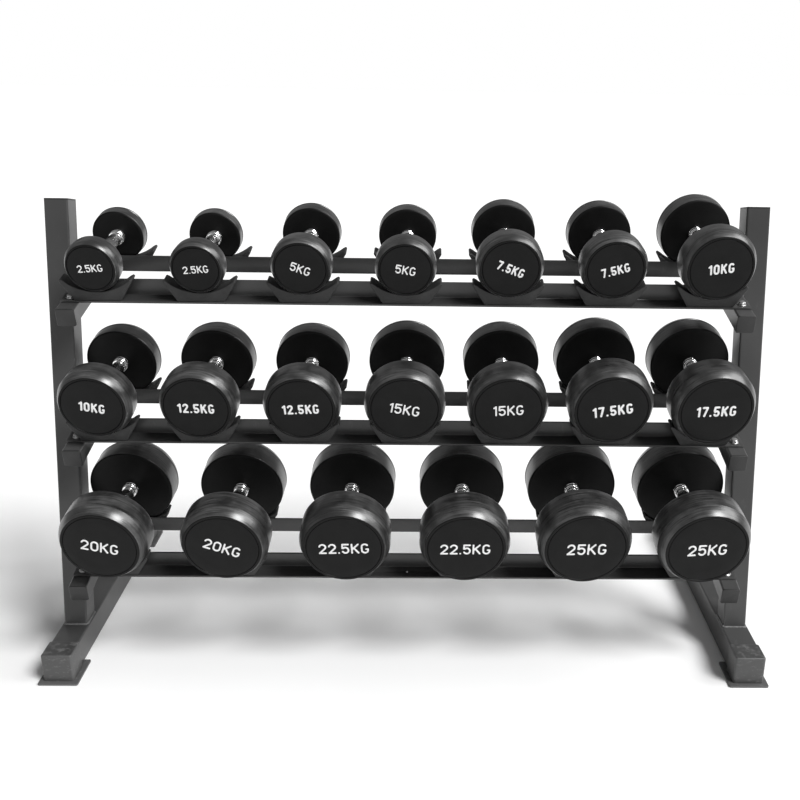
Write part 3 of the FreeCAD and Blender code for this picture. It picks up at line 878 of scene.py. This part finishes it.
CAP_THICKNESS = 0.003
PLUG_LENGTH = 0.018
PLUG_EDGE = 0.0011
STUB_CORNER = 0.0015
TUBE_CORNER = 0.004
ARM_WALL = 0.0025
UPRIGHT_WALL = 0.003
UPRIGHT_WIDTH = 0.050
UPRIGHT_DEPTH = 0.054
UPRIGHT_LEAN = math.radians(10.5)
ARM_AHEAD_OF_FOLD = 0.070
ARM_REACH = 0.103
ARM_LENGTH = 0.238
SHOE_WALL = 0.0025
SHOE_CORNER = 0.005
SHOE_EDGE = 0.0032
SHOE_FROM = 0.001
SHOE_LENGTH = 0.056
SHOE_FLANGE = 0.010
SHOE_HEEL = 0.026
SHOE_SOLE = 0.00475
SOLE_CORNER = 0.004
SOLE_EDGE = 0.0012
TUBE_SIDE = 0.060
PLAY = 0.00025


def rounded_rectangle(width, depth, corner, low=0.0, steps=5):
    """Outline centred across, running from low upward, with round corners."""
    x, bottom, top = width / 2 - corner, low + corner, low + depth - corner
    return (arc((x, bottom), (corner, corner), 270, 360, steps)
            + arc((x, top), (corner, corner), 0, 90, steps)
            + arc((-x, top), (corner, corner), 90, 180, steps)
            + arc((-x, bottom), (corner, corner), 180, 270, steps))


def plug_mesh(name, width, depth, wall):
    """Tube plug: a softly edged plate on Z 0 and its stub below."""
    plate = prism("plate", rounded_rectangle(width, depth, TUBE_CORNER), 0.0, CAP_THICKNESS, "z")
    soft = bevelled(plate, PLUG_EDGE, 3, SOFT_CREASE)
    inside = wall + PLAY
    section = rounded_rectangle(width - 2 * inside, depth - 2 * inside, STUB_CORNER, inside)
    stub = prism("stub", section, -PLUG_LENGTH, 0.0, "z")
    return joined(name, [(soft, IN_PLACE), (stub, IN_PLACE)], 40)


def arm_front(tier):
    """Top front corner of the arms of one tier, in the middle of the rack."""
    return fold_corner(tier, "front") - BACK * ARM_AHEAD_OF_FOLD


def make_arm_caps():
    """A plug in each end of each arm."""
    plug = plug_mesh("arm_plug", ARM_SIDE, ARM_SIDE, ARM_WALL)
    parts = []
    for tier in TIERS:
        for side in (-1, 1):
            middle = arm_front(tier) + ACROSS * arm_middle(side)
            front = middle + BACK * CAP_THICKNESS - UP * ARM_SIDE
            rear = middle + BACK * (ARM_LENGTH - CAP_THICKNESS)
            parts.append((plug, axes(ACROSS, UP, -BACK, front)))
            parts.append((plug, axes(ACROSS, -UP, BACK, rear)))
    mesh = joined("arm_end_plugs", parts, 40)
    piece = new_object("arm_end_plugs", mesh, None, "rack", (CAP,))
    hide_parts("arm_end_caps")


def make_upright_caps():
    """A plug in the top of each leaning upright."""
    plug = plug_mesh("upright_plug", UPRIGHT_WIDTH, UPRIGHT_DEPTH, UPRIGHT_WALL)
    along = Vector((0, math.sin(UPRIGHT_LEAN), math.cos(UPRIGHT_LEAN)))
    behind = Vector((0, along.z, -along.y))
    parts = []
    for name in ("left_upright", "right_upright"):
        low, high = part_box(name)
        top_front = Vector(((low.x + high.x) / 2, high.y - UPRIGHT_DEPTH * behind.y, high.z))
        parts.append((plug, axes(ACROSS, behind, along, top_front)))
    mesh = joined("upright_end_plugs", parts, 40)
    piece = new_object("upright_end_plugs", mesh, None, "rack", (CAP,))
    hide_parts("upright_caps")


def shoe_mesh():
    """Moulded shoe over a tube end: a soft-edged box on a wide sole with a long heel."""
    width = TUBE_SIDE + 2 * SHOE_WALL
    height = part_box("foot_caps")[1].z
    section = rounded_rectangle(width, SHOE_LENGTH, SHOE_CORNER, -SHOE_WALL)
    upper = bevelled(prism("upper", section, SHOE_FROM, height, "z"), SHOE_EDGE, 4, SOFT_CREASE)
    sole_length = SHOE_FLANGE + SHOE_LENGTH + SHOE_HEEL
    section = rounded_rectangle(width + 2 * SHOE_FLANGE, sole_length, SOLE_CORNER,
                                -SHOE_WALL - SHOE_FLANGE)
    sole = bevelled(prism("sole", section, 0.0, SHOE_SOLE, "z"), SOLE_EDGE, 2, SOFT_CREASE)
    bore_side = TUBE_SIDE / 2 + PLAY
    bore = prism("bore", [(-bore_side, SHOE_SOLE), (bore_side, SHOE_SOLE),
                          (bore_side, SHOE_SOLE + 2 * bore_side),
                          (-bore_side, SHOE_SOLE + 2 * bore_side)], 0.0, 2 * SHOE_LENGTH, "y")
    return joined("shoe", [(cut_out(upper, bore), IN_PLACE), (sole, IN_PLACE)], 40)


def make_shoes():
    """A shoe over each end of each base tube."""
    shoe = shoe_mesh()
    low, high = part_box("foot_caps")
    inset = SHOE_WALL + SHOE_FLANGE
    parts = []
    for name in ("left_base_tube", "right_base_tube"):
        tube_low, tube_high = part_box(name)
        x = (tube_low.x + tube_high.x) / 2
        parts.append((shoe, Matrix.Translation((x, low.y + inset, 0))))
        about = Matrix.Rotation(math.pi, 4, "Z")
        parts.append((shoe, Matrix.Translation((x, high.y - inset, 0)) @ about))
    mesh = joined("tube_end_shoes", parts, 40)
    piece = new_object("tube_end_shoes", mesh, None, "rack", (FOOT,))
    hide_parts("foot_caps")


BEAD_RADIUS = 0.0030
BEAD_PITCH = 0.0032
BEAD_STEP = 0.0004
BEAD_RIPPLE = 0.20
BEAD_AROUND = 12


def bead(start, end):
    """Rippled weld bead along a straight seam, closed at both ends."""
    start, end = Vector(start), Vector(end)
    along = (end - start).normalized()
    side = along.orthogonal().normalized()
    lift = along.cross(side)
    length = (end - start).length
    count = max(4, round(length / BEAD_STEP))
    verts, faces = [], []
    for step in range(count + 1):
        place = length * step / count
        ripple = 1 - BEAD_RIPPLE + BEAD_RIPPLE * abs(math.sin(math.pi * place / BEAD_PITCH))
        ending = min(1.0, (min(place, length - place) + BEAD_STEP) / BEAD_RADIUS)
        radius = BEAD_RADIUS * ripple * math.sqrt(ending)
        middle = start + along * place
        for turn in range(BEAD_AROUND):
            angle = 2 * math.pi * turn / BEAD_AROUND
            verts.append(middle + (side * math.cos(angle) + lift * math.sin(angle)) * radius)
    for step in range(count):
        for turn in range(BEAD_AROUND):
            after = (turn + 1) % BEAD_AROUND
            faces.append([step * BEAD_AROUND + turn, step * BEAD_AROUND + after,
                          (step + 1) * BEAD_AROUND + after, (step + 1) * BEAD_AROUND + turn])
    faces.append(list(range(BEAD_AROUND - 1, -1, -1)))
    faces.append([count * BEAD_AROUND + turn for turn in range(BEAD_AROUND)])
    return mesh_from("bead", [tuple(v) for v in verts], faces, 60)


def foot_seams(side):
    """Seams round the foot of one upright, on top of its base tube."""
    low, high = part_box("left_upright" if side < 0 else "right_upright")
    rear = low.y + UPRIGHT_DEPTH / math.cos(UPRIGHT_LEAN)
    corners = [(low.x, low.y, low.z), (high.x, low.y, low.z), (high.x, rear, low.z),
               (low.x, rear, low.z)]
    return list(zip(corners, corners[1:] + corners[:1]))


def arm_seams(side, tier):
    """Seams between one arm and the inner face of its upright."""
    meet = math.asin(BACK.z) + UPRIGHT_LEAN
    corner = arm_front(tier) + ACROSS * side * (arm_inner() + ARM_SIDE)
    front = ARM_REACH / math.cos(meet)
    rear = (ARM_REACH + UPRIGHT_DEPTH) / math.cos(meet)
    shift = ARM_SIDE * math.tan(meet)
    upper = [corner + BACK * front, corner + BACK * rear]
    lower = [corner + BACK * (front - shift) - UP * ARM_SIDE,
             corner + BACK * (rear - shift) - UP * ARM_SIDE]
    return [(upper[0], upper[1]), (lower[0], lower[1]), (upper[0], lower[0]),
            (upper[1], lower[1])]


def make_welds():
    """The weld beads of each end frame."""
    for side, word in ((-1, "left"), (1, "right")):
        seams = foot_seams(side)
        for tier in TIERS:
            seams += arm_seams(side, tier)
        beads = [(bead(start, end), IN_PLACE) for start, end in seams]
        mesh = joined(word + "_frame_welds", beads, 60)
        new_object(word + "_frame_welds", mesh, None, "rack", (WELD,))


# ---------------------------------------------------------------- bolts

HEX_FLATS = 0.013
HEX_SIDE_HEIGHT = 0.0040
HEX_HEIGHT = 0.0053
# the chamfer and the slight dome of the bolt's head, as (radius, height) pairs
HEX_TOP = [(0.0073, 0.0045), (0.0068, 0.0049), (0.0062, HEX_HEIGHT),
           (0.0045, HEX_HEIGHT + 0.0001)]
NO_LIMIT = 1.0
WASHER_RADIUS = 0.009
WASHER_BORE_RADIUS = 0.0042
WASHER_EDGE = 0.0004
WASHER = 0.0016
SHANK_RADIUS = 0.004
SHANK_LENGTH = 0.020


def hex_radius(turn):
    """Distance from a hexagon's middle to its side in a direction given in degrees."""
    return HEX_FLATS / 2 / math.cos(math.radians((turn + 30) % 60 - 30))


def bolt_mesh():
    """Hexagon bolt with a chamfered, slightly domed head, its shank and its washer."""
    around, verts, faces = 72, [], []
    rings = [(SHANK_RADIUS, -SHANK_LENGTH), (SHANK_RADIUS, 0.0), (NO_LIMIT, 0.0),
             (NO_LIMIT, HEX_SIDE_HEIGHT)] + HEX_TOP
    for limit, height in rings:
        for step in range(around):
            turn = 360 * step / around
            radius = min(limit, hex_radius(turn)) if limit > SHANK_RADIUS else limit
            verts.append((radius * math.cos(math.radians(turn)),
                          radius * math.sin(math.radians(turn)), height + WASHER))
    for ring in range(len(rings) - 1):
        for step in range(around):
            after = (step + 1) % around
            faces.append([ring * around + step, ring * around + after,
                          (ring + 1) * around + after, (ring + 1) * around + step])
    faces.append(list(range(around - 1, -1, -1)))
    faces.append([(len(rings) - 1) * around + step for step in range(around)])
    head = mesh_from("hex_bolt", verts, faces, 28)
    section = [(WASHER_BORE_RADIUS, 0.0), (WASHER_RADIUS - WASHER_EDGE, 0.0),
               (WASHER_RADIUS, WASHER_EDGE), (WASHER_RADIUS, WASHER - WASHER_EDGE),
               (WASHER_RADIUS - WASHER_EDGE, WASHER), (WASHER_BORE_RADIUS, WASHER),
               (WASHER_BORE_RADIUS, 0.0)]
    washer = lathe("washer", section, 48)
    return joined("rail_bolt", [(head, IN_PLACE), (washer, IN_PLACE)], 28)


def make_bolts():
    """A bolt through each end of each rail, each turned differently."""
    bolt = bolt_mesh()
    parts = []
    turn = 0.0
    for tier in TIERS:
        for end, facing in zip(ENDS, (-1, 1)):
            fold = tier_axes(fold_corner(tier, end))
            for side in (-1, 1):
                place = Matrix.Translation((arm_middle(side), facing * BOLT_FROM_FOLD, SHEET))
                turn += 23.0
                parts.append((bolt, fold @ place @ Matrix.Rotation(math.radians(turn), 4, "Z")))
    mesh = joined("rail_bolts_zinc", parts, 28)
    piece = new_object("rail_bolts_zinc", mesh, None, "rack", (ZINC,))
    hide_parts("rail_bolts")


# ---------------------------------------------------------------- room and camera

def make_floor():
    """A floor that reaches far past the picture on every side."""
    size = 30.0
    mesh = mesh_from("floor", [(-size, -size, 0), (size, -size, 0), (size, size, 0),
                               (-size, size, 0)], [[0, 1, 2, 3]])
    mesh.materials.append(pale_floor())
    floor = bpy.data.objects.new("floor", mesh)
    bpy.context.scene.collection.objects.link(floor)


# the surroundings' brightness as light, in reflections and as the camera sees it
FILL = 0.19
SHEEN = 0.30
BACKDROP = 1.0

CAMERA_YAW = math.radians(1.2)
CAMERA_PITCH = math.radians(19.4)
CAMERA_ROLL = math.radians(0.9)
CAMERA_PLACE = (0.046, -2.172, 1.290)
CAMERA_LENS = 45
CAMERA_SENSOR = 36
CAMERA_SHIFT = -0.062


def far_light(name, direction, softness, strength):
    """Light from a direction, even over the whole floor; its softness is in degrees."""
    light = bpy.data.lights.new(name, "SUN")
    light.angle = math.radians(softness)
    light.energy = strength
    lamp = bpy.data.objects.new(name, light)
    bpy.context.scene.collection.objects.link(lamp)
    lamp.rotation_euler = (-Vector(direction)).to_track_quat("-Z", "Y").to_euler()


def light_room():
    """Weak light from all round with a white backdrop, and two soft lights from the right."""
    world = bpy.data.worlds.new("studio")
    world.use_nodes = True
    nodes, links = world.node_tree.nodes, world.node_tree.links
    background = nodes["Background"]
    background.inputs["Color"].default_value = (1, 1, 1, 1)
    rays = nodes.new("ShaderNodeLightPath").outputs
    level = nodes.new("ShaderNodeValue").outputs[0]
    level.default_value = FILL
    for ray, strength in (("Is Camera Ray", BACKDROP - FILL), ("Is Glossy Ray", SHEEN - FILL)):
        step = nodes.new("ShaderNodeMath")
        step.operation = "MULTIPLY_ADD"
        step.inputs[1].default_value = strength
        links.new(rays[ray], step.inputs[0])
        links.new(level, step.inputs[2])
        level = step.outputs[0]
    links.new(level, background.inputs["Strength"])
    bpy.context.scene.world = world
    far_light("key", (0.66, -0.52, 0.95), 24, 3.2)
    far_light("side", (0.80, 0.04, 0.58), 34, 1.5)


def set_camera():
    """Standing camera in front of the rack, looking down on it."""
    level = Vector((math.cos(CAMERA_YAW), -math.sin(CAMERA_YAW), 0))
    forward = Vector((math.sin(CAMERA_YAW) * math.cos(CAMERA_PITCH),
                      math.cos(CAMERA_YAW) * math.cos(CAMERA_PITCH), -math.sin(CAMERA_PITCH)))
    overhead = level.cross(forward)
    right = level * math.cos(CAMERA_ROLL) + overhead * math.sin(CAMERA_ROLL)
    top = overhead * math.cos(CAMERA_ROLL) - level * math.sin(CAMERA_ROLL)
    data = bpy.data.cameras.new("camera")
    data.sensor_width = CAMERA_SENSOR
    data.lens = CAMERA_LENS
    data.shift_x = CAMERA_SHIFT
    camera = bpy.data.objects.new("camera", data)
    bpy.context.scene.collection.objects.link(camera)
    camera.matrix_world = axes(right, top, -forward, CAMERA_PLACE)
    bpy.context.scene.camera = camera
    bpy.context.scene.view_settings.view_transform = "Standard"


dress_cad()
make_dumbbells()
cradle = saddle_mesh()
for tier in TIERS:
    make_rail(tier, "front")
    make_rail(tier, "rear")
    make_saddles(tier, cradle)
make_arm_caps()
make_upright_caps()
make_shoes()
make_welds()
make_bolts()
make_floor()
light_room()
set_camera()
